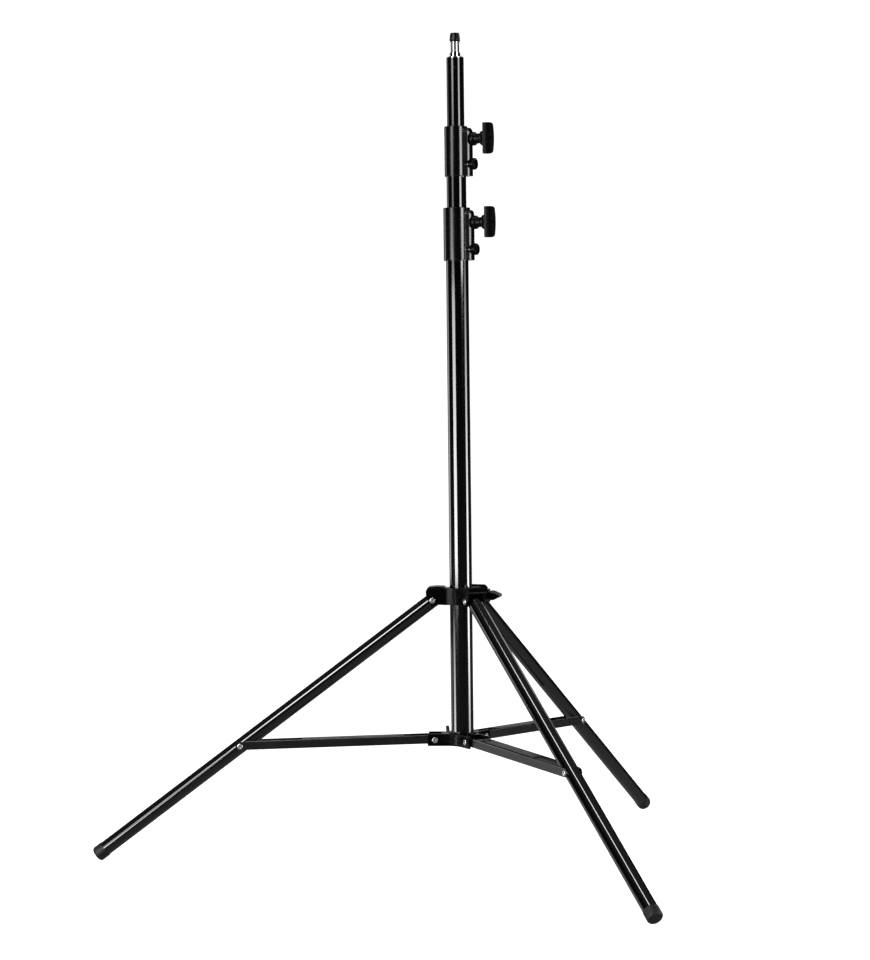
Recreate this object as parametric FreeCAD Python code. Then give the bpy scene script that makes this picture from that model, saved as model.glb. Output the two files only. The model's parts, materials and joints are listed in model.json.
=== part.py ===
"""Three-section folding light stand.

The origin is on the floor under the column, +Z is up and the left leg points along -X.
The stand is modelled with its legs spread and its column collapsed. All sizes are in mm.
"""
import FreeCAD, Part
import math
import os
from collections import namedtuple

# ---------------------------------------------------------------------------
# Driving dimensions
# ---------------------------------------------------------------------------
Tube = namedtuple("Tube", "radius bore foot top")
LOWER = Tube(radius=16.5, bore=15.0, foot=172.0, top=918.0)
MIDDLE = Tube(radius=14.4, bore=13.1, foot=240.0, top=1040.0)
TOP = Tube(radius=12.7, bore=11.4, foot=360.0, top=1176.0)

Collar = namedtuple("Collar", "bottom top radius boss_reach boss_top knob_height screw_height")
LOWER_COLLAR = Collar(bottom=881.5, top=958.6, radius=19.7, boss_reach=26.5,
                      boss_top=954.5, knob_height=936.5, screw_height=897.5)
UPPER_COLLAR = Collar(bottom=1004.0, top=1077.0, radius=17.0, boss_reach=25.2,
                      boss_top=1074.0, knob_height=1057.8, screw_height=1021.4)
COLLAR_AZIMUTH = -24.7
COLLAR_LIP = 3.0
COLLAR_CHAMFER = 0.7
BOSS_HALF_WIDTH = 6.8
BOSS_CORNER = 6.0
BOSS_FLARE = 3.4
BOSS_ROOT = 10.0
BOSS_CHAMFER = 2.2
BUMP_RADIUS = 8.6
BUMP_HEIGHT = 7.3
BUMP_ROUNDING = 2.0
COLLAR_SCREW_HOLE = 2.2
SCREW_SEAT_DEPTH = 5.5
SCREW_HEAD_RADIUS = 4.4
SCREW_HEAD_HEIGHT = 3.2
LOWER_NUT_START = 20.5
UPPER_NUT_START = 19.2

# Fits
PRESS_GAP = 0.05
RUNNING_GAP = 0.08
CLEAR_GAP = 0.3

# Legs and braces: pivots as (distance from the column axis, height)
LEG_AZIMUTHS = {"left": 180.0, "front": 300.0, "rear": 60.0}
HUB_PIVOT = (41.3, 384.7)
SPIDER_PIVOT = (39.7, 179.6)
LEG_ANGLE = 53.26
LEG_TO_RIVET = 358.2
LEG_RADIUS = 10.75
LEG_BORE = 9.55
LEG_OVERRUN = 10.0
FOOT_RADIUS = 11.45
FOOT_ROUNDING = 4.5
FOOT_CUP = 14.0
FOOT_FLOOR = 3.0

BRACE_GAP = LEG_RADIUS + CLEAR_GAP
BRACE_SHEET = 1.25
BRACE_BEND = 2.4
BRACE_TOP = 7.6
BRACE_BOTTOM = -5.4
BRACE_TIP = 6.5
BRACE_INNER_OPENING = 47.0
BRACE_FORK = 92.0

# Hub and spider
LUG_HALF_WIDTH = 14.7
LUG_REACH = 51.0
HUB_BOTTOM = 378.0
HUB_RIM_TOP = 402.6
CHEEK_TOP = 402.4
HOOD_TOP = 405.3
HOOD_HALF_WIDTH = 13.0
HUB_CORE_RADIUS = 29.8
RIM_STEP = 1.4
HUB_CURVE = 30.0
HUB_BORE = 18.25
HUB_KNOB_HEIGHT = 391.0
HUB_BOSS_REACH = 24.6
HUB_BOSS_RADIUS = 9.0
HUB_NUT_START = 20.2

SPIDER_BOTTOM = 170.7
SPIDER_TOP = 188.6
SPIDER_ROUNDING = 1.1
SPIDER_CURVE = 25.0
GROOVE_HEIGHT = 2.8
GROOVE_DEPTH = 1.4
GROOVE_REACH = 33.0
GROOVE_DEPTHS_FROM_TOP = (1.9, 8.2)
SPIDER_HALF_WIDTH = 16.1
SPIDER_REACH = 50.5
SPIDER_SLOT_START = 30.6
SPIDER_SCREW_AZIMUTH = 120.0
SPIDER_SCREW_HEIGHT = 180.0
SPIDER_BOSS_REACH = 25.0

PIN_RADIUS = 2.95
RIVET_HEAD_RADIUS = 4.4
RIVET_HEAD_HEIGHT = 1.6

# Clamping knobs
SCREW_RADIUS = 3.95
PAD_RADIUS = 5.0
PAD_THICKNESS = 2.0
PAD_POCKET_RADIUS = 5.3
SCREW_TRAVEL = 1.4
NUT_FLATS = 13.0
NUT_THICKNESS = 4.0
KNOB_LENGTH = 35.4
WING_SPAN = 45.0
COLLAR_KNOB_GAP = 1.8
HUB_KNOB_GAP = 0.4

# Stud: a 5/8 inch spigot
STUD_RADIUS = 7.9375
STUD_PIN_RADIUS = 1.5
STUD_PIN_DROP = 14.0
STUD_PIN_INSET = 0.2
STUD_TOP = 1200.0
STUD_WAIST = 6.3
STUD_HEAD = 6.8
THREAD_CORE = 2.65
CAP_TOP = 1213.0
CAP_BORE = 3.2

V = FreeCAD.Vector
ORIGIN = V(0, 0, 0)
X_AXIS = V(1, 0, 0)
Y_AXIS = V(0, 1, 0)
Z_AXIS = V(0, 0, 1)

os.makedirs("parts", exist_ok=True)


# ---------------------------------------------------------------------------
# Helpers
# ---------------------------------------------------------------------------
def save(name, shape):
    """Write one node."""
    if not shape.isValid():
        raise ValueError(name + " is not a valid shape")
    shape.exportStep("parts/" + name + ".step")


def rod(radius, bottom, top):
    """Upright cylinder on the column axis."""
    return Part.makeCylinder(radius, top - bottom, V(0, 0, bottom))


def sleeve(outer, inner, bottom, top):
    """Upright tube on the column axis."""
    return rod(outer, bottom, top).cut(rod(inner, bottom - 1, top + 1))


def bar(radius, start, end, height=0.0):
    """Cylinder along X at a height."""
    return Part.makeCylinder(radius, end - start, V(start, 0, height), X_AXIS)


def pin(radius, start, end, along=0.0, height=0.0):
    """Cylinder along Y through (along, height)."""
    return Part.makeCylinder(radius, end - start, V(along, start, height), Y_AXIS)


def block(x_range, y_range, z_range):
    """Box between two corners."""
    size = [high - low for low, high in (x_range, y_range, z_range)]
    return Part.makeBox(size[0], size[1], size[2], V(x_range[0], y_range[0], z_range[0]))


def turned(shape, azimuth):
    """Copy of a shape turned about the column axis."""
    copy = shape.copy()
    copy.rotate(ORIGIN, Z_AXIS, azimuth)
    return copy


def joined(shapes):
    """Union of several shapes as one solid."""
    first = shapes[0]
    return first.fuse(shapes[1:]).removeSplitter()


def wire_of(start, steps):
    """Closed wire from a start point; a step is an end point or an arc's (middle, end)."""
    edges = []
    here = start
    for step in steps:
        if isinstance(step, tuple):
            edges.append(Part.Arc(here, step[0], step[1]).toShape())
            here = step[1]
        else:
            edges.append(Part.LineSegment(here, step).toShape())
            here = step
    if here.distanceToPoint(start) > 1e-6:
        edges.append(Part.LineSegment(here, start).toShape())
    return Part.Wire(edges)


def side_plate(points, half_width):
    """Plate of an outline in the XZ plane, centred on y = 0; a pair of points is an arc."""
    def at(point):
        return V(point[0], -half_width, point[1])
    steps = [tuple(at(p) for p in step) if isinstance(step[0], tuple) else at(step)
             for step in points[1:]]
    return Part.Face(wire_of(at(points[0]), steps)).extrude(V(0, 2 * half_width, 0))


def lathed(points, centre=ORIGIN, axis=X_AXIS):
    """Solid of revolution about local X; points are (along, radius), a pair is an arc."""
    def at(point):
        return V(point[0], 0, point[1])
    steps = [tuple(at(p) for p in step) if isinstance(step[0], tuple) else at(step)
             for step in points[1:]]
    solid = Part.Face(wire_of(at(points[0]), steps)).revolve(ORIGIN, X_AXIS, 360)
    solid = Part.Solid(solid) if solid.ShapeType == "Shell" else solid
    solid.Placement = FreeCAD.Placement(centre, FreeCAD.Rotation(X_AXIS, axis))
    return solid


def hexagon(flats, start, end, height):
    """Hexagonal prism along X with two flats facing sideways."""
    corner = flats / math.sqrt(3)
    points = []
    for index in range(7):
        angle = math.radians(60 * index + 30)
        points.append(V(start, corner * math.cos(angle), height + corner * math.sin(angle)))
    return Part.Face(Part.makePolygon(points)).extrude(V(end - start, 0, 0))


def star_plan(half_width, curve, reach, bottom, top):
    """Three-armed plan with concave walls between the arms, extruded upward."""
    root = (half_width + curve) / math.sqrt(3)
    waist = (half_width + curve) / math.cos(math.radians(30)) - curve
    edges = []
    for azimuth in sorted(LEG_AZIMUTHS.values()):
        def at(radial, across, turn=azimuth):
            angle = math.radians(turn)
            return V(radial * math.cos(angle) - across * math.sin(angle),
                     radial * math.sin(angle) + across * math.cos(angle), bottom)
        right = at(root, -half_width)
        right_end = at(reach, -half_width)
        left_end = at(reach, half_width)
        left = at(root, half_width)
        middle = at(waist, 0, azimuth + 60)
        next_right = at(root, -half_width, azimuth + 120)
        edges.append(Part.LineSegment(right, right_end).toShape())
        edges.append(Part.LineSegment(right_end, left_end).toShape())
        edges.append(Part.LineSegment(left_end, left).toShape())
        edges.append(Part.Arc(left, middle, next_right).toShape())
    return Part.Face(Part.Wire(edges)).extrude(V(0, 0, top - bottom))


def on_arms(shape):
    """The same shape on the three arms."""
    return [turned(shape, azimuth) for azimuth in LEG_AZIMUTHS.values()]


# ---------------------------------------------------------------------------
# Clamping knobs
# ---------------------------------------------------------------------------
def pad_outer(tube_radius):
    """Distance from the column axis to the outer face of a pressure pad."""
    return tube_radius + PRESS_GAP + PAD_THICKNESS


def clamp_cuts(tube_radius, reach, height):
    """Pad pocket and screw hole of a clamp that presses on a tube."""
    pocket_end = pad_outer(tube_radius) + SCREW_TRAVEL + 0.2
    return [bar(PAD_POCKET_RADIUS, 0, pocket_end, height),
            bar(SCREW_RADIUS + CLEAR_GAP, 0, reach + 1, height)]


def clamp_nut(start, height):
    """Thin hexagonal nut that takes the knob's screw."""
    nut = hexagon(NUT_FLATS, start, start + NUT_THICKNESS, height)
    return nut.cut(bar(SCREW_RADIUS + PRESS_GAP, start - 1, start + NUT_THICKNESS + 1, height))


def nut_pocket(start, height):
    """Hexagonal pocket round a nut."""
    return hexagon(NUT_FLATS + 2 * PRESS_GAP, start - PRESS_GAP,
                   start + NUT_THICKNESS + PRESS_GAP, height)


def pressure_pad(tube_radius, height, radius=PAD_RADIUS):
    """Disc whose inner face follows the tube it presses on."""
    disc = bar(radius, tube_radius - 4, pad_outer(tube_radius), height)
    return disc.cut(rod(tube_radius + PRESS_GAP, height - 20, height + 20))


def wing_blade(swell, half_span):
    """Upright blade with a pointed section, thickened all round by swell."""
    root = 5.6 + swell
    waist = 2.6 + swell
    tip = 0.5
    ogive = [(17.6, root), (22.4, root), ((26.2, 4.4 + swell), (29.6, waist)), (KNOB_LENGTH, tip),
             (KNOB_LENGTH, -tip), (29.6, -waist), ((26.2, -4.4 - swell), (22.4, -root)),
             (17.6, -root)]

    def at(point):
        return V(point[0], point[1], -half_span)
    steps = [tuple(at(p) for p in step) if isinstance(step[0], tuple) else at(step)
             for step in ogive[1:]]
    return Part.Face(wire_of(at(ogive[0]), steps)).extrude(V(0, 0, 2 * half_span))


def knob(start, height, wing_turn):
    """Spool-necked knob with a wing; wing_turn is 0 for an upright wing and 90 for a level one."""
    spool = lathed([(0, 0), (0, 9.0), ((0.3, 9.7), (1.0, 10.0)), (3.6, 10.0),
                    ((4.9, 9.4), (5.4, 8.1)), ((5.8, 7.6), (6.6, 7.35)), (12.4, 7.35),
                    ((14.6, 8.2), (15.8, 10.5)), (16.5, 10.5), (17.3, 9.6), (18.0, 9.6), (18.0, 0)])
    cone = lathed([(17.0, 0), (17.0, 9.4), ((26.0, 7.4), (33.4, 2.6)), (33.4, 0)])
    half_span = WING_SPAN / 2
    blade = wing_blade(0.0, half_span)
    raised = wing_blade(0.6, half_span).common(cone)
    corner = half_span - 6.0
    edge = KNOB_LENGTH - 1.2
    outline = side_plate([(19.2, half_span), (edge - 5.5, half_span),
                          ((edge - 1.4, half_span - 1.9), (edge, corner)),
                          ((KNOB_LENGTH, 0), (edge, -corner)),
                          ((edge - 1.4, 1.9 - half_span), (edge - 5.5, -half_span)),
                          (19.2, -half_span)], 10)
    body = joined([spool, raised, blade.common(outline)])
    body = body.cut(bar(SCREW_RADIUS + PRESS_GAP, -1, 22))
    body.rotate(ORIGIN, X_AXIS, wing_turn)
    body.translate(V(start, 0, height))
    return body


def knob_set(prefix, tube_radius, start, height, azimuth, wing_turn):
    """Write a knob, its screw and its pressure pad."""
    screw = bar(SCREW_RADIUS, pad_outer(tube_radius) + PRESS_GAP, start + 21.5, height)
    save(prefix + "_knob", turned(knob(start, height, wing_turn), azimuth))
    save(prefix + "_knob_screw", turned(screw, azimuth))
    save(prefix + "_knob_pad", turned(pressure_pad(tube_radius, height), azimuth))


# ---------------------------------------------------------------------------
# Collars and column
# ---------------------------------------------------------------------------
def boss_outline(spec, along, half_width):
    """Section of a knob boss at a distance from the axis: flat top with round corners."""
    diagonal = BOSS_CORNER * (1 - math.sqrt(0.5))
    shoulder = half_width - BOSS_CORNER
    spring = spec.boss_top - BOSS_CORNER

    def at(across, height):
        return V(along, across, height)
    left_arc = (at(-half_width + diagonal, spec.boss_top - diagonal), at(-shoulder, spec.boss_top))
    right_arc = (at(half_width - diagonal, spec.boss_top - diagonal), at(half_width, spring))
    return wire_of(at(-half_width, spec.bottom),
                   [at(-half_width, spring), left_arc, at(shoulder, spec.boss_top), right_arc,
                    at(half_width, spec.bottom)])


def knob_boss(spec):
    """Boss that tapers towards its chamfered front and carries the knob's screw."""
    root = boss_outline(spec, BOSS_ROOT, BOSS_HALF_WIDTH + BOSS_FLARE)
    front = boss_outline(spec, spec.boss_reach, BOSS_HALF_WIDTH)
    boss = Part.makeLoft([root, front], True, True)
    rim = [e for e in boss.Edges
           if e.BoundBox.XMin > spec.boss_reach - 0.01 and e.BoundBox.ZMax > spec.bottom + 0.01]
    return boss.makeChamfer(BOSS_CHAMFER, rim)


def collar(spec, outer_tube, inner_tube, nut_start):
    """Moulded collar on the top end of a tube, with a knob boss and a recessed screw."""
    shell = rod(spec.radius, spec.bottom, spec.top)
    rims = [e for e in shell.Edges if len(e.Vertexes) == 1]
    shell = shell.makeChamfer(COLLAR_CHAMFER, rims)
    bump_end = spec.boss_reach + BUMP_HEIGHT
    bump = bar(BUMP_RADIUS, BOSS_ROOT, bump_end, spec.screw_height)
    bump_rim = [e for e in bump.Edges if e.BoundBox.XMin > bump_end - 0.01]
    bump = bump.makeFillet(BUMP_ROUNDING, bump_rim)
    body = joined([shell, knob_boss(spec), bump])
    cuts = [rod(outer_tube.radius + PRESS_GAP, spec.bottom - 1, spec.top - COLLAR_LIP),
            rod(inner_tube.radius + CLEAR_GAP, spec.bottom, spec.top + 1),
            bar(SCREW_HEAD_RADIUS + 0.2, bump_end - SCREW_SEAT_DEPTH, bump_end + 1,
                spec.screw_height),
            bar(COLLAR_SCREW_HOLE, 0, bump_end, spec.screw_height),
            nut_pocket(nut_start, spec.knob_height)]
    cuts += clamp_cuts(inner_tube.radius, spec.boss_reach, spec.knob_height)
    return turned(body.cut(cuts), COLLAR_AZIMUTH)


def collar_liner(spec, outer_tube, inner_tube):
    """Nylon sleeve that guides the inner tube, with a window for the pressure pad."""
    liner = sleeve(outer_tube.radius, inner_tube.radius + RUNNING_GAP,
                   outer_tube.top + CLEAR_GAP, spec.top - COLLAR_LIP - PRESS_GAP)
    return turned(liner.cut(bar(PAD_POCKET_RADIUS, 0, 30, spec.knob_height)), COLLAR_AZIMUTH)


def collar_screw(spec, outer_tube):
    """Cross-head screw that holds the collar on its tube."""
    seat = spec.boss_reach + BUMP_HEIGHT - SCREW_SEAT_DEPTH
    top = seat + SCREW_HEAD_HEIGHT
    shank = bar(COLLAR_SCREW_HOLE - 0.1, outer_tube.bore + 0.1, seat + 0.5, spec.screw_height)
    head = bar(SCREW_HEAD_RADIUS, seat + PRESS_GAP, top, spec.screw_height)
    head = head.makeFillet(1.0, [e for e in head.Edges if e.BoundBox.XMin > top - 0.1])
    slot_floor = top - 1.6
    cross = [block((slot_floor, top + 1), (-2.6, 2.6), (-0.5, 0.5)),
             block((slot_floor, top + 1), (-0.5, 0.5), (-2.6, 2.6))]
    for slot in cross:
        slot.translate(V(0, 0, spec.screw_height))
    return turned(joined([shank, head]).cut(cross), COLLAR_AZIMUTH)


def guide(tube, bore):
    """Plug in a tube's foot whose flange slides in the bore of the next tube down."""
    flange = rod(bore - RUNNING_GAP, tube.foot - 8, tube.foot - PRESS_GAP)
    flange = flange.makeChamfer(0.8, [e for e in flange.Edges if len(e.Vertexes) == 1])
    stem = rod(tube.bore - PRESS_GAP, tube.foot - 1, tube.foot + 10)
    return joined([flange, stem]).cut(rod(tube.bore - 4, tube.foot - 5, tube.foot + 11))


def column_tube(tube, holes=()):
    """Plain tube with optional radial holes."""
    wall = sleeve(tube.radius, tube.bore, tube.foot, tube.top)
    return wall.cut(list(holes)) if holes else wall


def make_column():
    """Write the tubes, collars, liners, nuts, screws and guides."""
    lower_hole = turned(bar(COLLAR_SCREW_HOLE, 10, 20, LOWER_COLLAR.screw_height), COLLAR_AZIMUTH)
    save("lower_tube", column_tube(LOWER, [lower_hole]))
    save("lower_collar", collar(LOWER_COLLAR, LOWER, MIDDLE, LOWER_NUT_START))
    save("lower_collar_liner", collar_liner(LOWER_COLLAR, LOWER, MIDDLE))
    save("lower_collar_screw", collar_screw(LOWER_COLLAR, LOWER))
    nut = clamp_nut(LOWER_NUT_START, LOWER_COLLAR.knob_height)
    save("lower_collar_nut", turned(nut, COLLAR_AZIMUTH))
    knob_set("lower", MIDDLE.radius, LOWER_COLLAR.boss_reach + COLLAR_KNOB_GAP,
             LOWER_COLLAR.knob_height, COLLAR_AZIMUTH, 0)

    middle_hole = turned(bar(COLLAR_SCREW_HOLE, 10, 20, UPPER_COLLAR.screw_height), COLLAR_AZIMUTH)
    save("middle_tube", column_tube(MIDDLE, [middle_hole]))
    save("middle_guide", guide(MIDDLE, LOWER.bore))
    save("upper_collar", collar(UPPER_COLLAR, MIDDLE, TOP, UPPER_NUT_START))
    save("upper_collar_liner", collar_liner(UPPER_COLLAR, MIDDLE, TOP))
    save("upper_collar_screw", collar_screw(UPPER_COLLAR, MIDDLE))
    nut = clamp_nut(UPPER_NUT_START, UPPER_COLLAR.knob_height)
    save("upper_collar_nut", turned(nut, COLLAR_AZIMUTH))
    knob_set("upper", TOP.radius, UPPER_COLLAR.boss_reach + COLLAR_KNOB_GAP,
             UPPER_COLLAR.knob_height, COLLAR_AZIMUTH, 0)

    stud_pin_height = TOP.top - STUD_PIN_DROP
    stud_pin_end = TOP.radius - STUD_PIN_INSET
    stud_hole = pin(STUD_PIN_RADIUS + PRESS_GAP, -20, 20, 0, stud_pin_height)
    save("top_tube", column_tube(TOP, [stud_hole]))
    save("top_guide", guide(TOP, MIDDLE.bore))
    save("stud_pin", pin(STUD_PIN_RADIUS, -stud_pin_end, stud_pin_end, 0, stud_pin_height))
    save("stud", stud().cut(stud_hole))
    save("stud_cap", stud_cap())


# ---------------------------------------------------------------------------
# Stud and cap
# ---------------------------------------------------------------------------
def stud():
    """5/8 inch spigot with a waist, a seat flange, a shank in the tube and a thread's core."""
    foot = TOP.top
    shank = TOP.bore - PRESS_GAP
    return lathed([(foot - 26, 0), (foot - 26, shank), (foot, shank), (foot, 12.2),
                   (foot + 0.5, 12.5), (foot + 1.5, 12.5), (foot + 2, 12.0),
                   (foot + 2, STUD_RADIUS), (foot + 7.6, STUD_RADIUS), (foot + 9.2, STUD_WAIST),
                   (STUD_TOP - 2.0, STUD_WAIST), (STUD_TOP - 0.9, STUD_HEAD),
                   (STUD_TOP + 2.5, STUD_HEAD), (STUD_TOP + 2.5, THREAD_CORE),
                   (STUD_TOP + 9.8, THREAD_CORE), (STUD_TOP + 10.3, THREAD_CORE - 0.5),
                   (STUD_TOP + 10.3, 0)], ORIGIN, Z_AXIS)


def stud_cap():
    """Fluted slip-on cap over the stud's thread."""
    cap = lathed([(STUD_TOP, 0), (STUD_TOP, 7.0), (STUD_TOP + 1.6, 7.85),
                  (STUD_TOP + 3.0, 7.85), (CAP_TOP - 2.6, 7.0),
                  ((CAP_TOP - 0.8, 6.5), (CAP_TOP, 5.0)), (CAP_TOP, 0)], ORIGIN, Z_AXIS)
    bore = lathed([(STUD_TOP - 1, 0), (STUD_TOP - 1, 6.9), (STUD_TOP + 2.7, 6.9),
                   (STUD_TOP + 2.7, CAP_BORE), (STUD_TOP + 10.8, CAP_BORE),
                   (STUD_TOP + 10.8, 0)],
                  ORIGIN, Z_AXIS)
    flutes = []
    for index in range(12):
        flute = Part.makeCylinder(0.8, 9, V(8.0, 0, STUD_TOP + 3.4))
        flutes.append(turned(flute, 30 * index))
    return cap.cut([bore] + flutes)


# ---------------------------------------------------------------------------
# Rivets
# ---------------------------------------------------------------------------
def rivet_head(face, side):
    """Domed head with a dimple, standing on a face across Y; side is +1 or -1."""
    head = lathed([(0, 0), (0, RIVET_HEAD_RADIUS), (0.6, RIVET_HEAD_RADIUS),
                   ((1.3, 3.9), (RIVET_HEAD_HEIGHT, 3.0)), (RIVET_HEAD_HEIGHT, 1.9),
                   (0.9, 1.5), (0.9, 0)], ORIGIN, V(0, side, 0))
    head.translate(V(0, side * face, 0))
    return head


def through_rivet(face):
    """Pin with a head on both faces."""
    return joined([pin(PIN_RADIUS, -face, face), rivet_head(face, 1), rivet_head(face, -1)])


# ---------------------------------------------------------------------------
# Hub
# ---------------------------------------------------------------------------
def leg_direction():
    """Unit vector of a leg in its radial plane, from the hub to the foot."""
    angle = math.radians(LEG_ANGLE)
    return math.sin(angle), -math.cos(angle)


def hub_slot():
    """Space for a leg's top end between the cheeks, under the hood."""
    out_x, out_z = leg_direction()
    radial, height = HUB_PIVOT
    swing = math.hypot(LEG_RADIUS, LEG_OVERRUN) + 0.4
    rise = LEG_RADIUS + 0.6
    inner = radial - swing
    edge = (radial - out_z * rise, height + out_x * rise)
    far = (edge[0] + 60 * out_x, edge[1] + 60 * out_z)
    trough = side_plate([(inner, height), (radial, height), edge, far, (far[0], height - 60),
                         (inner, height - 60)], BRACE_GAP)
    return trough.fuse(pin(swing, -BRACE_GAP, BRACE_GAP, radial, height))


def hub_body():
    """Sliding hub with three hooded clevis lugs and concave walls between them."""
    radial, height = HUB_PIVOT
    nose = LUG_REACH - 0.8
    cheek = side_plate([(12, HUB_BOTTOM), (35, HUB_BOTTOM + 0.4), (42.3, HUB_BOTTOM - 2.2),
                        (nose, HUB_BOTTOM + 10.6), (LUG_REACH, CHEEK_TOP - 6.0),
                        ((49.4, CHEEK_TOP - 1.4), (45.0, CHEEK_TOP)), (12, CHEEK_TOP)],
                       LUG_HALF_WIDTH)
    hood = side_plate([(20, HOOD_TOP - 4), (24, HOOD_TOP - 0.6),
                       ((34.0, HOOD_TOP), (44.5, HOOD_TOP - 0.8)),
                       ((49.0, HOOD_TOP - 3.0), (nose, CHEEK_TOP - 6.0)), (nose, height + 5),
                       (20, height + 5)], HOOD_HALF_WIDTH)
    middle = star_plan(LUG_HALF_WIDTH, HUB_CURVE, LUG_REACH - 4, HUB_BOTTOM,
                       HUB_RIM_TOP - RIM_STEP)
    rim = star_plan(LUG_HALF_WIDTH - 1, HUB_CURVE + 1, LUG_REACH - 6, HUB_RIM_TOP - 2 * RIM_STEP,
                    HUB_RIM_TOP)
    core = rod(HUB_CORE_RADIUS, HUB_BOTTOM, HUB_RIM_TOP)
    walls = joined([middle, rim]).common(core)
    boss = bar(HUB_BOSS_RADIUS, 10, HUB_BOSS_REACH, HUB_KNOB_HEIGHT)
    body = joined([walls, boss] + on_arms(cheek) + on_arms(hood))
    cuts = on_arms(hub_slot())
    cuts += on_arms(pin(PIN_RADIUS + PRESS_GAP, -20, 20, radial, height))
    cuts.append(rod(HUB_BORE, HUB_BOTTOM - 10, HOOD_TOP + 10))
    cuts.append(nut_pocket(HUB_NUT_START, HUB_KNOB_HEIGHT))
    cuts += clamp_cuts(LOWER.radius, HUB_BOSS_REACH, HUB_KNOB_HEIGHT)
    return body.cut(cuts)


def make_hub():
    """Write the hub and what it carries."""
    save("hub_body", hub_body())
    liner = sleeve(HUB_BORE - PRESS_GAP, LOWER.radius + RUNNING_GAP, HUB_BOTTOM + 0.5,
                   HUB_RIM_TOP - 0.4)
    save("hub_liner", liner.cut(bar(PAD_POCKET_RADIUS, 0, 30, HUB_KNOB_HEIGHT)))
    save("hub_nut", clamp_nut(HUB_NUT_START, HUB_KNOB_HEIGHT))
    knob_set("hub", LOWER.radius, HUB_BOSS_REACH + HUB_KNOB_GAP, HUB_KNOB_HEIGHT, 0, 90)
    rivet = through_rivet(LUG_HALF_WIDTH)
    rivet.translate(V(HUB_PIVOT[0], 0, HUB_PIVOT[1]))
    save("leg_pivot_rivets", Part.Compound(on_arms(rivet)))


# ---------------------------------------------------------------------------
# Base spider
# ---------------------------------------------------------------------------
def base_spider():
    """Three-armed casting on the column's foot; each arm is a clevis for a brace."""
    arms = star_plan(SPIDER_HALF_WIDTH, SPIDER_CURVE, SPIDER_REACH, SPIDER_BOTTOM, SPIDER_TOP)
    rims = [e for e in arms.Edges if e.BoundBox.ZLength < 0.01]
    arms = arms.makeFillet(SPIDER_ROUNDING, rims)
    arms = arms.cut([wall_groove(depth) for depth in GROOVE_DEPTHS_FROM_TOP])
    collar_ring = rod(20.6, SPIDER_TOP - 4, SPIDER_TOP + 1.6)
    boss = bar(7.5, 10, SPIDER_BOSS_REACH, SPIDER_SCREW_HEIGHT)
    body = joined([arms, collar_ring, turned(boss, SPIDER_SCREW_AZIMUTH)])
    slot_half_width = BRACE_GAP + BRACE_SHEET + CLEAR_GAP
    slot = block((SPIDER_SLOT_START, 80), (-slot_half_width, slot_half_width),
                 (SPIDER_BOTTOM - 5, SPIDER_TOP + 5))
    cuts = on_arms(slot)
    cuts += on_arms(pin(PIN_RADIUS + PRESS_GAP, -20, 20, SPIDER_PIVOT[0], SPIDER_PIVOT[1]))
    cuts.append(rod(LOWER.radius + PRESS_GAP, LOWER.foot - PRESS_GAP, SPIDER_TOP + 5))
    cuts.append(rod(LOWER.bore - 2, SPIDER_BOTTOM - 1, SPIDER_TOP))
    screw_cuts = [bar(3.4, 0, LOWER.radius + 3.9, SPIDER_SCREW_HEIGHT),
                  bar(2.95, 0, 40, SPIDER_SCREW_HEIGHT)]
    cuts += [turned(cut, SPIDER_SCREW_AZIMUTH) for cut in screw_cuts]
    return body.cut(cuts)


def wall_groove(depth_from_top):
    """Ring that cuts one groove along the spider's three concave walls."""
    bottom = SPIDER_TOP - depth_from_top - GROOVE_HEIGHT
    top = SPIDER_TOP - depth_from_top
    outer = star_plan(SPIDER_HALF_WIDTH + 1, SPIDER_CURVE - 1, SPIDER_REACH, bottom, top)
    inner = star_plan(SPIDER_HALF_WIDTH - GROOVE_DEPTH, SPIDER_CURVE + GROOVE_DEPTH,
                      SPIDER_REACH, bottom - 1, top + 1)
    return outer.cut(inner).common(rod(GROOVE_REACH, bottom, top))


def wing_screw():
    """Slim-eared wing screw through the spider's wall."""
    shank = bar(2.9, LOWER.radius + 2.15, 44, SPIDER_SCREW_HEIGHT)
    root = lathed([(41, 0), (41, 4.6), (42, 5.2), (49, 4.2), ((50.6, 3.4), (51.2, 2.0)), (51.2, 0)],
                  V(0, 0, SPIDER_SCREW_HEIGHT))
    ears = side_plate([(42.5, 0), (46.6, 11.6), ((49.2, 13.6), (51.6, 12.0)), (50.4, 0),
                       (51.6, -12.0), ((49.2, -13.6), (46.6, -11.6))], 1.6)
    ears.translate(V(0, 0, SPIDER_SCREW_HEIGHT))
    return turned(joined([shank, root, ears]), SPIDER_SCREW_AZIMUTH)


def make_spider():
    """Write the spider, its plug, its rivets and its wing screw."""
    save("base_spider", base_spider())
    plug = rod(LOWER.bore - PRESS_GAP, LOWER.foot + 0.2, LOWER.foot + 14)
    save("base_plug", plug.cut(rod(LOWER.bore - 3, LOWER.foot - 1, LOWER.foot + 11)))
    rivet = through_rivet(SPIDER_HALF_WIDTH)
    rivet.translate(V(SPIDER_PIVOT[0], 0, SPIDER_PIVOT[1]))
    save("brace_inner_rivets", Part.Compound(on_arms(rivet)))
    save("base_wing_screw", wing_screw())
    disc = bar(3.2, LOWER.radius - 4, LOWER.radius + 2.1, SPIDER_SCREW_HEIGHT)
    disc = disc.cut(rod(LOWER.radius + PRESS_GAP, SPIDER_SCREW_HEIGHT - 9, SPIDER_SCREW_HEIGHT + 9))
    save("base_screw_pad", turned(disc, SPIDER_SCREW_AZIMUTH))


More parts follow.
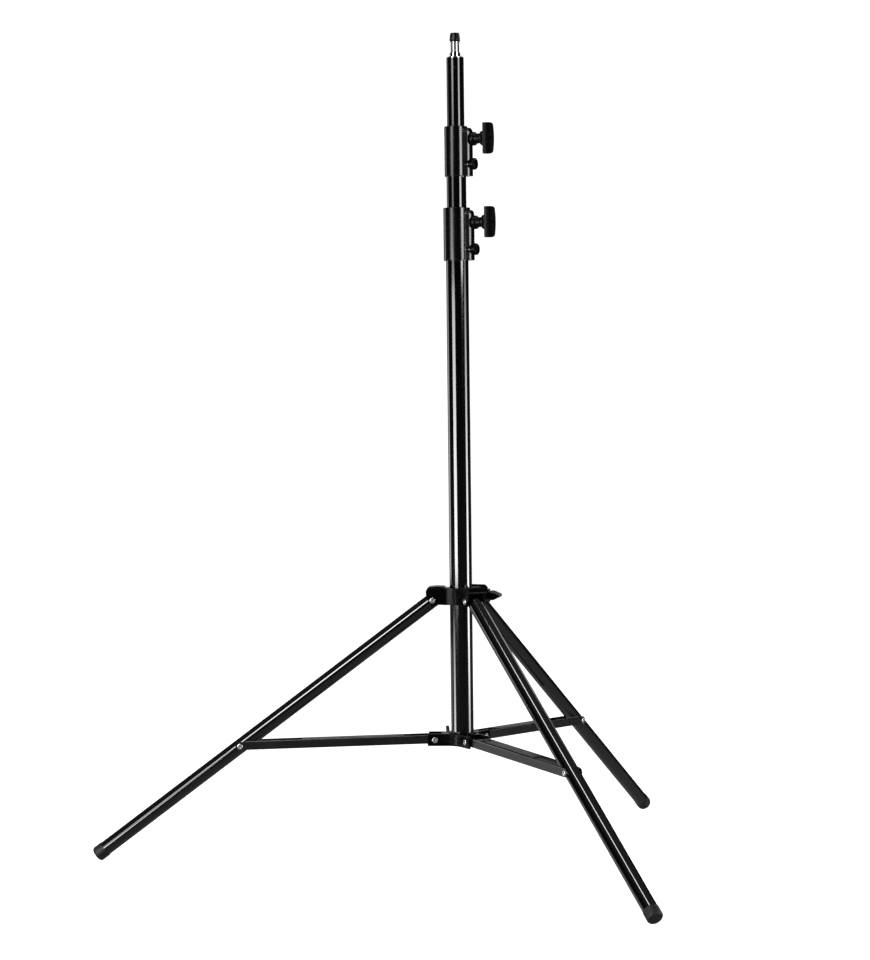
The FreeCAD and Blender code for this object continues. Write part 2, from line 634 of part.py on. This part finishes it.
# ---------------------------------------------------------------------------
# Legs and braces
# ---------------------------------------------------------------------------
def leg_length():
    """Hub pivot to foot end, so that the rounded foot just touches the floor."""
    out_x, out_z = leg_direction()
    drop = HUB_PIVOT[1] - (FOOT_RADIUS - FOOT_ROUNDING) * out_x - FOOT_ROUNDING
    return FOOT_ROUNDING - drop / out_z


def rivet_point():
    """Leg-to-brace rivet as (distance from the column axis, height)."""
    out_x, out_z = leg_direction()
    return HUB_PIVOT[0] + LEG_TO_RIVET * out_x, HUB_PIVOT[1] + LEG_TO_RIVET * out_z


def on_leg(shape, azimuth):
    """Place a shape whose local X runs from the hub pivot towards the foot."""
    copy = shape.copy()
    copy.rotate(ORIGIN, Y_AXIS, 90 - LEG_ANGLE)
    copy.translate(V(HUB_PIVOT[0], 0, HUB_PIVOT[1]))
    return turned(copy, azimuth)


def on_brace(shape, azimuth):
    """Place a shape whose local X runs from the spider pivot towards the leg rivet."""
    rivet = rivet_point()
    fall = math.degrees(math.atan2(SPIDER_PIVOT[1] - rivet[1], rivet[0] - SPIDER_PIVOT[0]))
    copy = shape.copy()
    copy.rotate(ORIGIN, Y_AXIS, fall)
    copy.translate(V(SPIDER_PIVOT[0], 0, SPIDER_PIVOT[1]))
    return turned(copy, azimuth)


def foot():
    """Moulded foot cup on the end of a leg."""
    end = leg_length()
    cup = bar(FOOT_RADIUS, end - FOOT_FLOOR - FOOT_CUP, end)
    cup = cup.makeFillet(FOOT_ROUNDING, [e for e in cup.Edges if e.BoundBox.XMin > end - 0.01])
    lip = end - FOOT_FLOOR - FOOT_CUP
    cup = cup.makeFillet(0.5, [e for e in cup.Edges if e.BoundBox.XMax < lip + 0.01])
    return cup.cut(bar(LEG_RADIUS + PRESS_GAP, lip - 1, end - FOOT_FLOOR + PRESS_GAP))


def brace():
    """Pressed channel, open below, whose two ends are forks."""
    rivet = rivet_point()
    span = math.hypot(rivet[0] - SPIDER_PIVOT[0], rivet[1] - SPIDER_PIVOT[1])
    half = BRACE_GAP + BRACE_SHEET
    web_start = BRACE_INNER_OPENING
    web_end = span - BRACE_FORK
    channel = block((-20, span + 20), (-half, half), (BRACE_BOTTOM, BRACE_TOP))
    bends = [e for e in channel.Edges
             if e.BoundBox.ZMin > BRACE_TOP - 0.01 and e.BoundBox.YLength < 0.01]
    channel = channel.makeFillet(BRACE_BEND, bends)
    inside = block((-21, span + 21), (-BRACE_GAP, BRACE_GAP),
                   (BRACE_BOTTOM - 1, BRACE_TOP - BRACE_SHEET))
    openings = [block((-21, web_start), (-BRACE_GAP, BRACE_GAP), (0, BRACE_TOP + 1)),
                block((web_end, span + 21), (-BRACE_GAP, BRACE_GAP), (0, BRACE_TOP + 1))]
    profile = side_plate([(-1.0, BRACE_TOP), ((-5.6, 4.6), (-BRACE_TIP, 0)),
                          ((-4.6, -4.0), (-1.5, BRACE_BOTTOM)), (span + 1.5, BRACE_BOTTOM),
                          ((span + 4.8, -3.8), (span + BRACE_TIP, 0)),
                          ((span + 4.6, 4.6), (span, BRACE_TIP)), (span - 22, BRACE_TOP)],
                         half + 1)
    sheet = channel.cut([inside] + openings).common(profile)
    holes = [pin(PIN_RADIUS + RUNNING_GAP, -20, 20, 0, 0),
             pin(PIN_RADIUS + PRESS_GAP, -20, 20, span, 0)]
    return sheet.cut(holes), span


def make_leg(name, azimuth, head_side):
    """Write one leg with its plug, bushes and foot, and its brace with the two half rivets."""
    end = leg_length()
    tube_end = end - FOOT_FLOOR
    tube = bar(LEG_RADIUS, -LEG_OVERRUN, tube_end).cut(bar(LEG_BORE, -LEG_OVERRUN - 1, tube_end + 1))
    bush_hole = pin(4.55, -20, 20)
    rivet_hole = pin(PIN_RADIUS + RUNNING_GAP, -20, 20, LEG_TO_RIVET, 0)
    save("leg_tube_" + name, on_leg(tube.cut([bush_hole, rivet_hole]), azimuth))
    plug = bar(LEG_BORE - PRESS_GAP, -LEG_OVERRUN + 0.5, 22).cut(bush_hole)
    save("leg_top_plug_" + name, on_leg(plug, azimuth))
    bush = pin(4.5, -LEG_RADIUS - 0.1, LEG_RADIUS + 0.1)
    save("leg_pivot_bush_" + name, on_leg(bush.cut(pin(PIN_RADIUS + RUNNING_GAP, -20, 20)), azimuth))
    spacer = pin(4.5, -8.4, 8.4, LEG_TO_RIVET, 0).cut(rivet_hole)
    save("leg_rivet_spacer_" + name, on_leg(spacer, azimuth))
    save("foot_" + name, on_leg(foot(), azimuth))

    sheet, span = brace()
    face = BRACE_GAP + BRACE_SHEET
    save("brace_" + name, on_brace(sheet, azimuth))
    head = joined([rivet_head(face, 1), pin(PIN_RADIUS, BRACE_GAP + 0.05, face + 0.2)])
    tail = joined([pin(3.6, face, face + 1.9), pin(2.2, face, face + 2.8),
                   pin(PIN_RADIUS, BRACE_GAP + 0.05, face + 0.2)])
    if head_side < 0:
        head.rotate(ORIGIN, X_AXIS, 180)
    else:
        tail.rotate(ORIGIN, X_AXIS, 180)
    head.translate(V(span, 0, 0))
    tail.translate(V(span, 0, 0))
    save("brace_rivet_head_" + name, on_brace(head, azimuth))
    save("brace_rivet_tail_" + name, on_brace(tail, azimuth))


make_column()
make_hub()
make_spider()
for leg_name, leg_azimuth in LEG_AZIMUTHS.items():
    make_leg(leg_name, leg_azimuth, 1 if leg_name == "left" else -1)
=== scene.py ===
"""Looks of the three-section folding light stand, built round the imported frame."""

import json
import math

import bmesh
import bpy
from mathutils import Matrix, Vector


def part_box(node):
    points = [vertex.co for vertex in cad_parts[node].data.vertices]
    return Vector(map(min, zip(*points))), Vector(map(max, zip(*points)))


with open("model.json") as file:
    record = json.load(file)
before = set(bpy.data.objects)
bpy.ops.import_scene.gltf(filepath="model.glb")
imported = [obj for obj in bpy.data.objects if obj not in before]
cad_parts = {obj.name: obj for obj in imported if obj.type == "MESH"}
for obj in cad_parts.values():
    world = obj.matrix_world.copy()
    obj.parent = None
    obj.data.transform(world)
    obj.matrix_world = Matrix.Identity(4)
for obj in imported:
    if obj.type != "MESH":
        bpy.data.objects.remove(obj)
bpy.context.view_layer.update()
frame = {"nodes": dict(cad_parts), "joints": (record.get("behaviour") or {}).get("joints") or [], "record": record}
NODES = frame["nodes"]
LEGS = ("left", "front", "rear")

MM = 0.001
UP = Vector((0, 0, 1))

# How far from the column's axis the flanks of each collar's knob boss end, and the
# polished line along the boss's edge
BOSS_FLANK_ENDS = {"lower_collar": 25.2 * MM, "upper_collar": 23.9 * MM}
BARREL_SPECULAR = 0.75
BOSS_SPECULAR = 0.07
EDGE_LINE = 0.9 * MM
SHEEN_BLEND = 0.4 * MM

# Finishes; the grain and its depth are in millimetres
EDGE_START = 0.998
EDGE_FULL = 0.835
ALONG_TUBE = (1.0, 1.0, 0.012)
HAIR_SCRATCHES = (1.0, 1.0, 0.03)
TURNED_LINES = (1.0, 1.0, 12.0)
FOOT_SCUFF_HEIGHT = 9 * MM
MOULD_GRAIN = 0.45
MOULD_DEPTH = 0.008

# White studio sweep: a round floor, its rounded corner and a dome
SWEEP_RADIUS = 12.0
SWEEP_CORNER = 2.0
SWEEP_HEIGHT = 9.0
SWEEP_ARC_STEPS = 12
SWEEP_GLOW = 0.96
SWEEP_ALBEDO = 0.8

# Distance of the lights from the column, and the point that the high boxes face
SOFTBOX_DISTANCE = 4.2
HIGH_BOX_DISTANCE = 4.0
OVERHEAD_DISTANCE = 3.7
STAND_MIDDLE = Vector((0, 0, 0.4))

# Brightness of the surround, from straight down (0) through level (0.5) to straight up (1)
SURROUND = ((0.0, 0.25), (0.35, 0.20), (0.5, 0.015), (0.7, 0.015), (1.0, 0.15))

# Camera, in metres and degrees
CAMERA_PLACE = Vector((0.2112, -3.9376, 0.707))
CAMERA_YAW = -3.597
CAMERA_PITCH = -2.12
CAMERA_ROLL = -0.66
CAMERA_LENS = 100.86
CAMERA_SENSOR = 36
CAMERA_FAR = 60


# ---------------------------------------------------------------------------
# Node material helper
# ---------------------------------------------------------------------------
class Finish:
    """A node material on the row frame's coordinates, built up in layers."""

    def __init__(self, name, roughness, metallic=0.0, coat=0.0, ior=1.5, specular=0.5, along=UP):
        self.material = bpy.data.materials.new(name)
        self.material.use_nodes = True
        tree = self.material.node_tree
        self.nodes = tree.nodes
        self.links = tree.links
        self.shader = self.nodes["Principled BSDF"]
        self.shader.inputs["Metallic"].default_value = metallic
        self.shader.inputs["IOR"].default_value = ior
        self.shader.inputs["Specular IOR Level"].default_value = specular
        self.shader.inputs["Coat Weight"].default_value = coat
        self.shader.inputs["Coat Roughness"].default_value = 0.06
        self.shader.inputs["Roughness"].default_value = roughness
        self.roughness = roughness
        self.height = None
        self.place = self.turned_coordinates(along)

    def add(self, kind, **values):
        node = self.nodes.new(kind)
        for key, value in values.items():
            setattr(node, key, value)
        return node

    def turned_coordinates(self, along):
        """Object coordinates turned so that their Z runs along a direction."""
        source = self.add("ShaderNodeTexCoord")
        turn = self.add("ShaderNodeMapping")
        turn.inputs["Rotation"].default_value = along.rotation_difference(UP).to_euler()
        self.links.new(source.outputs["Object"], turn.inputs["Vector"])
        return turn.outputs["Vector"]

    def stretched(self, factors):
        """The coordinates scaled by three factors."""
        node = self.add("ShaderNodeMapping")
        node.inputs["Scale"].default_value = factors
        self.links.new(self.place, node.inputs["Vector"])
        return node.outputs["Vector"]

    def noise(self, size, detail=3.0, stretch=None):
        """Noise whose features are about size metres across."""
        node = self.add("ShaderNodeTexNoise")
        node.inputs["Scale"].default_value = 1.0 / size
        node.inputs["Detail"].default_value = detail
        place = self.place if stretch is None else self.stretched(stretch)
        self.links.new(place, node.inputs["Vector"])
        return node.outputs["Fac"]

    def remap(self, value, low, high, to_low=0.0, to_high=1.0):
        """A value mapped from one range to another and held inside it."""
        node = self.add("ShaderNodeMapRange", clamp=True)
        node.inputs["From Min"].default_value = low
        node.inputs["From Max"].default_value = high
        node.inputs["To Min"].default_value = to_low
        node.inputs["To Max"].default_value = to_high
        self.links.new(value, node.inputs["Value"])
        return node.outputs["Result"]

    def math(self, operation, first, second):
        """One math node; each operand is a number or another node's value."""
        node = self.add("ShaderNodeMath", operation=operation)
        for socket, value in zip(node.inputs, (first, second)):
            if isinstance(value, (int, float)):
                socket.default_value = value
            else:
                self.links.new(value, socket)
        return node.outputs["Value"]

    def edges(self, width):
        """0 on flat faces and 1 on sharp edges, about width metres wide."""
        soft = self.add("ShaderNodeBevel", samples=4)
        soft.inputs["Radius"].default_value = width
        plain = self.add("ShaderNodeNewGeometry")
        dot = self.add("ShaderNodeVectorMath", operation="DOT_PRODUCT")
        self.links.new(soft.outputs["Normal"], dot.inputs[0])
        self.links.new(plain.outputs["Normal"], dot.inputs[1])
        return self.remap(dot.outputs["Value"], EDGE_START, EDGE_FULL)

    def colour(self, base, tint, amount):
        """Base colour that moves towards a tint by a 0 to 1 value."""
        mix = self.add("ShaderNodeMix", data_type="RGBA")
        first, second = [socket for socket in mix.inputs if socket.type == "RGBA"]
        first.default_value = (*base, 1.0)
        second.default_value = (*tint, 1.0)
        self.links.new(amount, mix.inputs["Factor"])
        result = next(socket for socket in mix.outputs if socket.type == "RGBA")
        self.links.new(result, self.shader.inputs["Base Color"])

    def rough(self, *layers):
        """Roughness that adds (value, amount) layers to the plain one."""
        total = self.roughness
        for value, amount in layers:
            total = self.math("ADD", self.math("MULTIPLY", value, amount), total)
        self.links.new(self.remap(total, 0.0, 1.0), self.shader.inputs["Roughness"])

    def bump(self, value, depth):
        """Surface relief of depth metres; later calls add to earlier ones."""
        node = self.add("ShaderNodeBump")
        node.inputs["Strength"].default_value = 1.0
        node.inputs["Distance"].default_value = depth
        self.links.new(value, node.inputs["Height"])
        if self.height is not None:
            self.links.new(self.height, node.inputs["Normal"])
        self.height = node.outputs["Normal"]
        self.links.new(self.height, self.shader.inputs["Normal"])


# ---------------------------------------------------------------------------
# Materials
# ---------------------------------------------------------------------------
def gloss_tube(name, along):
    """Black anodised and lacquered aluminium tube with faint drawing lines and hair scratches."""
    paint = Finish(name, 0.075, coat=0.5, ior=1.55, along=along)
    drawn = paint.noise(0.9 * MM, 2.0, ALONG_TUBE)
    patches = paint.noise(45 * MM, 3.0)
    hairs = paint.remap(paint.noise(0.5 * MM, 4.0, HAIR_SCRATCHES), 0.68, 0.80)
    wear = paint.edges(0.5 * MM)
    paint.rough((patches, 0.03), (hairs, 0.05), (wear, 0.2))
    tone = paint.math("MAXIMUM", paint.math("MULTIPLY", patches, 0.015),
                      paint.math("MULTIPLY", wear, 0.6))
    paint.colour((0.0004, 0.0004, 0.0005), (0.03, 0.03, 0.032), tone)
    paint.bump(drawn, 0.0006 * MM)
    paint.bump(paint.noise(9 * MM, 2.0), 0.002 * MM)
    return paint.material


def mould_grain(plastic, shade, grain, depth):
    """Fine spark-erosion grain, paler edges that are partly rubbed wear and partly a painted edge highlight, and
    an uneven sheen.
    """
    fine = plastic.noise(grain * MM, 4.0)
    cloud = plastic.noise(14 * MM, 3.0)
    wear = plastic.edges(0.7 * MM)
    # Paler edges broken up by noise: partly rubbed wear, partly a painted highlight along the edges, such as the
    # light rims of the hub and spider
    edge_wear_and_highlight = plastic.math("MULTIPLY", wear, plastic.remap(plastic.noise(3 * MM, 4.0), 0.35, 0.65))
    plastic.rough((cloud, 0.06), (fine, 0.04), (edge_wear_and_highlight, -0.08))
    tone = plastic.math("ADD", plastic.math("MULTIPLY", cloud, 0.02),
                        plastic.math("MULTIPLY", edge_wear_and_highlight, 0.7))
    plastic.colour((shade, shade, shade * 1.06), (0.05, 0.05, 0.05), tone)
    plastic.bump(fine, depth * MM)


def moulded(name, shade, roughness, grain=MOULD_GRAIN, depth=MOULD_DEPTH, specular=0.35):
    """Moulded black plastic."""
    plastic = Finish(name, roughness, specular=specular)
    mould_grain(plastic, shade, grain, depth)
    return plastic.material


def collar_plastic(name, flank_end):
    """Moulded collar: glossy barrel, duller knob boss with a polished line along its edge.

    flank_end is how far from the column's axis the boss's flanks end and the line starts.
    """
    plastic = Finish(name, 0.11)
    mould_grain(plastic, 0.0005, MOULD_GRAIN, MOULD_DEPTH)
    barrel = -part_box(name)[0].x
    out = plastic.add("ShaderNodeVectorMath", operation="LENGTH")
    plastic.links.new(plastic.stretched((1.0, 1.0, 0.0)), out.inputs[0])
    reach = out.outputs["Value"]
    line_end = flank_end + EDGE_LINE
    boss = plastic.remap(reach, barrel + 0.2 * MM, barrel + 0.9 * MM)
    plain = plastic.math("MAXIMUM", plastic.remap(reach, flank_end, flank_end - SHEEN_BLEND),
                         plastic.remap(reach, line_end, line_end + SHEEN_BLEND))
    dull = plastic.math("MULTIPLY", boss, plain)
    sheen = plastic.remap(dull, 0.0, 1.0, BARREL_SPECULAR, BOSS_SPECULAR)
    plastic.links.new(sheen, plastic.shader.inputs["Specular IOR Level"])
    return plastic.material


def powder_coat(name, shade, roughness):
    """Satin powder coat on pressed steel: orange peel and thin paint on the sheet's edges."""
    paint = Finish(name, roughness, specular=0.9)
    peel = paint.noise(1.1 * MM, 2.0)
    speck = paint.noise(0.35 * MM, 2.0)
    cloud = paint.noise(30 * MM, 3.0)
    wear = paint.edges(0.5 * MM)
    chips = paint.math("MULTIPLY", wear, paint.remap(paint.noise(2 * MM, 5.0), 0.45, 0.62))
    paint.rough((cloud, 0.10), (speck, 0.06), (chips, -0.10))
    tone = paint.math("ADD", paint.math("MULTIPLY", cloud, 0.02),
                      paint.math("MULTIPLY", chips, 0.6))
    paint.colour((shade, shade, shade * 1.04), (0.08, 0.08, 0.083), tone)
    paint.bump(peel, 0.012 * MM)
    paint.bump(speck, 0.004 * MM)
    return paint.material


def rubbery(name, base):
    """Matte foot plastic: coarse grain, with pale scuffs towards the floor."""
    foot = Finish(name, 0.50)
    fine = foot.noise(0.5 * MM, 4.0)
    split = foot.add("ShaderNodeSeparateXYZ")
    foot.links.new(foot.place, split.inputs["Vector"])
    low = foot.remap(split.outputs["Z"], FOOT_SCUFF_HEIGHT, 0.0)
    scuffs = foot.math("MULTIPLY", low, foot.remap(foot.noise(1.6 * MM, 5.0), 0.42, 0.62))
    wear = foot.edges(0.8 * MM)
    foot.rough((fine, 0.10), (scuffs, 0.22), (wear, -0.05))
    tone = foot.math("ADD", foot.math("MULTIPLY", scuffs, 0.5),
                     foot.math("MULTIPLY", wear, 0.15))
    foot.colour(base, (0.06, 0.059, 0.057), tone)
    foot.bump(fine, 0.015 * MM)
    return foot.material


def plated(name, base, roughness, dull, line_size=0.5, stretch=None, depth=0.003):
    """Bright plated or turned metal with fine tool marks and darker, duller patches."""
    metal = Finish(name, roughness, metallic=1.0)
    lines = metal.noise(line_size * MM, 3.0, stretch)
    cloud = metal.noise(5 * MM, 3.0)
    metal.rough((lines, 0.4 * roughness), (cloud, 0.3 * roughness))
    metal.colour(base, dull, metal.remap(cloud, 0.35, 0.75, 0.0, 0.6))
    metal.bump(lines, depth * MM)
    return metal.material


def nylon(name):
    """Unfilled nylon, slightly translucent, a little yellowed."""
    body = Finish(name, 0.38)
    cloud = body.noise(8 * MM, 3.0)
    body.rough((cloud, 0.12))
    body.colour((0.74, 0.73, 0.68), (0.60, 0.57, 0.48), body.remap(cloud, 0.3, 0.8))
    body.bump(body.noise(0.6 * MM, 3.0), 0.01 * MM)
    return body.material


def foot_direction(name):
    """Unit vector along a leg tube, from its pivot to its foot."""
    joint = next(j for j in frame["joints"] if j["name"] == name + "_leg_fold")
    low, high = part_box("foot_" + name)
    return ((low + high) / 2 - Vector(joint["pos_m"])).normalized()


def paint_nodes():
    """Give every CAD node its finish: the one of its slot, or one of its own."""
    finishes = {
        "tube_gloss_black": gloss_tube("tube_gloss_black", UP),
        "knob_black": moulded("knob_black", 0.0012, 0.20, 0.5, 0.02, specular=0.14),
        "wing_screw_black": moulded("wing_screw_black", 0.0015, 0.28),
        "foot_black": rubbery("foot_black", (0.003, 0.003, 0.0032)),
        "brace_black": powder_coat("brace_black", 0.0010, 0.15),
        "nylon_natural": nylon("nylon_natural"),
        "cap_black": moulded("cap_black", 0.0012, 0.26, 0.4, 0.02, specular=0.25),
        "chrome": plated("chrome", (0.86, 0.86, 0.87), 0.035, (0.6, 0.6, 0.62), 0.8,
                         TURNED_LINES, 0.001),
        "rivet_steel": plated("rivet_steel", (0.80, 0.80, 0.81), 0.20, (0.5, 0.5, 0.5), 0.35),
        "nut_black": moulded("nut_black", 0.002, 0.30),
        "zinc_steel": plated("zinc_steel", (0.66, 0.67, 0.69), 0.26, (0.45, 0.45, 0.46), 0.4),
        "screw_black": moulded("screw_black", 0.003, 0.22, specular=0.6),
        "brass": plated("brass", (0.74, 0.56, 0.26), 0.22, (0.42, 0.30, 0.14), 0.4),
    }
    own = {name: gloss_tube("tube_gloss_black_" + name, foot_direction(name)) for name in LEGS}
    own = {"leg_tube_" + name: material for name, material in own.items()}
    for name, flank_end in BOSS_FLANK_ENDS.items():
        own[name] = collar_plastic(name, flank_end)
    own["hub_body"] = moulded("hub_black", 0.0008, 0.14, specular=0.09)
    own["base_spider"] = moulded("spider_black", 0.0008, 0.14, specular=0.09)
    own["stud_pin"] = moulded("pin_black", 0.001, 0.20)
    for row in frame["record"]["subparts"]:
        name = row["node"]
        for slot in NODES[name].material_slots:
            slot.material = own.get(name) or finishes[row["material_slot"]]


# ---------------------------------------------------------------------------
# Stage, lights and camera
# ---------------------------------------------------------------------------
def glowing(name, strength, albedo):
    """Pale studio surface that is lit and also glows, so that it has no dark side."""
    paper = Finish(name, 0.9)
    paper.colour((albedo,) * 3, (albedo * 0.97,) * 3, paper.noise(0.4, 2.0))
    paper.bump(paper.noise(2 * MM, 2.0), 0.05 * MM)
    paper.shader.inputs["Emission Color"].default_value = (1, 1, 1, 1)
    paper.shader.inputs["Emission Strength"].default_value = strength
    return paper.material


def sweep_profile():
    """Half section of the sweep: flat floor, quarter round, then a quarter of an oval."""
    flat = SWEEP_RADIUS - SWEEP_CORNER
    dome = SWEEP_HEIGHT - SWEEP_CORNER
    angles = [math.pi / 2 * step / SWEEP_ARC_STEPS for step in range(1, SWEEP_ARC_STEPS + 1)]
    floor = [Vector((0, 0, 0)), Vector((flat, 0, 0))]
    corner = [Vector((flat + SWEEP_CORNER * math.sin(angle), 0,
                      SWEEP_CORNER * (1 - math.cos(angle)))) for angle in angles]
    cover = [Vector((SWEEP_RADIUS * math.cos(angle), 0,
                     SWEEP_CORNER + dome * math.sin(angle))) for angle in angles]
    return floor + corner + cover


def sweep_stage():
    """Round floor that curves up into a wall and closes in a dome."""
    profile = sweep_profile()
    mesh = bmesh.new()
    points = [mesh.verts.new(p) for p in profile]
    for first, second in zip(points, points[1:]):
        mesh.edges.new((first, second))
    bmesh.ops.spin(mesh, geom=mesh.verts[:] + mesh.edges[:], cent=(0, 0, 0), axis=UP,
                   steps=72, angle=math.tau, use_merge=True)
    bmesh.ops.remove_doubles(mesh, verts=mesh.verts[:], dist=0.001)
    data = bpy.data.meshes.new("studio_sweep")
    mesh.to_mesh(data)
    mesh.free()
    for polygon in data.polygons:
        polygon.use_smooth = True
    stage = bpy.data.objects.new("studio_sweep", data)
    bpy.context.scene.collection.objects.link(stage)
    stage.data.materials.append(glowing("studio_white", SWEEP_GLOW, SWEEP_ALBEDO))
    stage.visible_glossy = False
    stage.visible_diffuse = False
    stage.visible_transmission = False
    stage.visible_shadow = False


def softbox(name, azimuth, spread, heights, radiance):
    """Upright area light; azimuth and spread are degrees as seen from the column.

    Azimuth counts from the camera side (-Y) towards +X, and heights are its lower and upper
    edge. radiance is a number, or its values at the lower and the upper edge.
    """
    turn = math.radians(azimuth)
    bottom, top = heights
    low, high = radiance if isinstance(radiance, tuple) else (radiance, radiance)
    away = Vector((math.sin(turn), -math.cos(turn), 0))
    width = 2 * SOFTBOX_DISTANCE * math.tan(math.radians(spread / 2))
    light = area_light(name, width, top - bottom, high)
    light.location = away * SOFTBOX_DISTANCE + UP * (bottom + top) / 2
    light.rotation_euler = (-away).to_track_quat("-Z", "Y").to_euler()
    if low != high:
        fade_upward(light.data, low / high)


def high_box(name, azimuth, elevation, size, radiance, distance=HIGH_BOX_DISTANCE):
    """Area light above the stand that faces its middle; size is its width and height."""
    turn = math.radians(azimuth)
    rise = math.radians(elevation)
    away = Vector((math.sin(turn) * math.cos(rise), -math.cos(turn) * math.cos(rise),
                   math.sin(rise)))
    light = area_light(name, size[0], size[1], radiance)
    light.location = STAND_MIDDLE + away * distance
    light.rotation_euler = (-away).to_track_quat("-Z", "Y").to_euler()


def area_light(name, width, height, radiance):
    """Rectangular light of even radiance, hidden from the camera."""
    data = bpy.data.lights.new(name, "AREA")
    data.shape = "RECTANGLE"
    data.size = width
    data.size_y = height
    data.energy = radiance * math.pi * width * height
    lamp = bpy.data.objects.new(name, data)
    lamp.visible_camera = False
    bpy.context.scene.collection.objects.link(lamp)
    return lamp


def fade_upward(data, ratio):
    """Scale a light's output from ratio at its lower edge to 1 at its upper edge."""
    data.use_nodes = True
    nodes = data.node_tree.nodes
    links = data.node_tree.links
    place = nodes.new("ShaderNodeNewGeometry")
    split = nodes.new("ShaderNodeSeparateXYZ")
    level = nodes.new("ShaderNodeMapRange")
    level.inputs["To Min"].default_value = ratio
    level.inputs["To Max"].default_value = 1.0
    links.new(place.outputs["Parametric"], split.inputs["Vector"])
    links.new(split.outputs["Y"], level.inputs["Value"])
    links.new(level.outputs["Result"], nodes["Emission"].inputs["Strength"])


def light_studio():
    """Side boxes that give the tubes their lines, and four high boxes for the fittings."""
    softbox("key_left", -42, 30, (0.09, 1.00), (17.0, 7.0))
    softbox("key_left_middle", -43, 18, (1.00, 1.40), (2.8, 2.2))
    softbox("key_left_upper", -37, 21, (1.40, 2.60), (2.2, 15.0))
    softbox("floor_left", -76, 22, (-0.45, -0.02), (12.0, 2.0))
    softbox("strip_right", 85, 22, (-0.05, 1.12), (17.0, 0.8))
    softbox("strip_right_low", 86, 22, (-0.50, -0.05), (2.0, 15.0))
    softbox("strip_right_upper", 50.5, 21, (1.02, 2.40), (11.0, 1.0))
    softbox("side_left", -123, 26, (0.10, 2.10), (2.6, 0.1))
    softbox("side_left_low", -123, 44, (-1.60, -0.10), 0.4)
    high_box("key_high", -33, 29, (1.2, 1.1), 7.0)
    high_box("overhead", -46, 71, (1.2, 0.45), 14.0, OVERHEAD_DISTANCE)
    high_box("back_high", 153, 24, (0.8, 0.7), 2.0)
    high_box("right_high", 116, 27, (1.0, 1.0), 8.0)
    softbox("back_low", 177, 30, (0.60, 1.00), 0.6)


def dim_surround():
    """Surround that is dim at the level of the stand and lighter below and above."""
    world = bpy.data.worlds.new("studio_surround")
    bpy.context.scene.world = world
    world.use_nodes = True
    nodes = world.node_tree.nodes
    links = world.node_tree.links
    place = nodes.new("ShaderNodeTexCoord")
    split = nodes.new("ShaderNodeSeparateXYZ")
    ramp = nodes.new("ShaderNodeValToRGB")
    lift = nodes.new("ShaderNodeMapRange")
    lift.inputs["From Min"].default_value = -1.0
    links.new(place.outputs["Generated"], split.inputs["Vector"])
    links.new(split.outputs["Z"], lift.inputs["Value"])
    links.new(lift.outputs["Result"], ramp.inputs["Fac"])
    for position, _ in SURROUND[1:-1]:
        ramp.color_ramp.elements.new(position)
    for element, (position, value) in zip(ramp.color_ramp.elements, SURROUND):
        element.position = position
        element.color = (value, value, value, 1)
    links.new(ramp.outputs["Color"], nodes["Background"].inputs["Color"])


def place_camera():
    """Camera a little to the right of the front, looking almost level."""
    yaw, pitch, roll = (math.radians(a) for a in (CAMERA_YAW, CAMERA_PITCH, CAMERA_ROLL))
    forward = Vector((math.sin(yaw) * math.cos(pitch), math.cos(yaw) * math.cos(pitch),
                      math.sin(pitch)))
    level = Vector((math.cos(yaw), -math.sin(yaw), 0))
    above = level.cross(forward)
    right = math.cos(roll) * level + math.sin(roll) * above
    top = -math.sin(roll) * level + math.cos(roll) * above
    data = bpy.data.cameras.new("camera")
    data.lens = CAMERA_LENS
    data.sensor_width = CAMERA_SENSOR
    data.clip_end = CAMERA_FAR
    camera = bpy.data.objects.new("camera", data)
    turned = Matrix((right, top, -forward)).transposed().to_4x4()
    camera.matrix_world = Matrix.Translation(CAMERA_PLACE) @ turned
    bpy.context.scene.collection.objects.link(camera)
    bpy.context.scene.camera = camera


paint_nodes()
sweep_stage()
light_studio()
dim_surround()
place_camera()
bpy.context.scene.view_settings.view_transform = "Standard"
